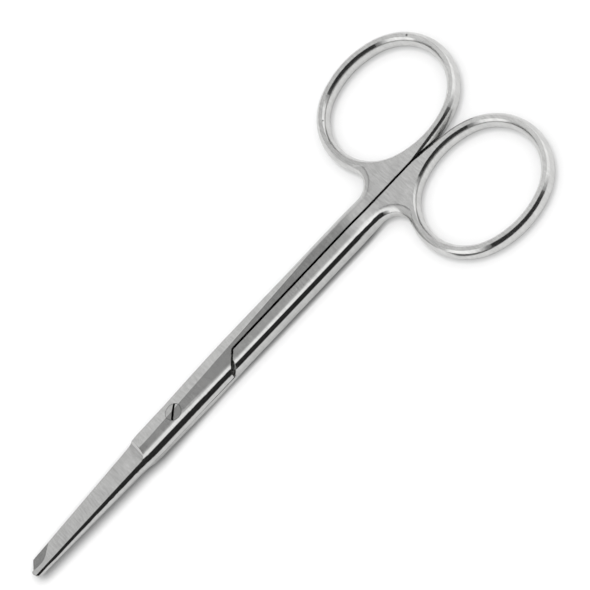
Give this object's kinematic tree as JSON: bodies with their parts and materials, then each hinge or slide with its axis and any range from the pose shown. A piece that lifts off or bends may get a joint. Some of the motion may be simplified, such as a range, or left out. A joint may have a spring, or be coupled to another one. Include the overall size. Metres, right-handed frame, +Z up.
{
  "type": "suture scissors",
  "caption": "Straight suture scissors with a small hook notch near the tip of the upper blade, a lap joint held by a slotted pivot screw, and oval finger rings.",
  "frame": {"origin": "pivot axis at the flat that the closed scissors lie on, which is the flush lower end of the pivot screw", "axes": "+X from the pivot to the finger rings along the closed pair, +Y to the upper half's finger ring, +Z up along the pivot axis to the screw's slotted head"},
  "size_m": [0.1291, 0.054, 0.0045],
  "materials": {
    "satin_steel": "satin",
    "screw_steel": "satin"
  },
  "bodies": {
    "lower": {"lower_half": "satin_steel", "pivot_screw": "screw_steel"},
    "upper": {"upper_half": "satin_steel"}
  },
  "joints": [
    {"name": "pivot", "type": "hinge", "parent": "lower", "child": "upper", "pos_m": [0, 0, 0.00225], "axis": [0, 0, 1], "range_deg": [0, 140]}
  ]
}
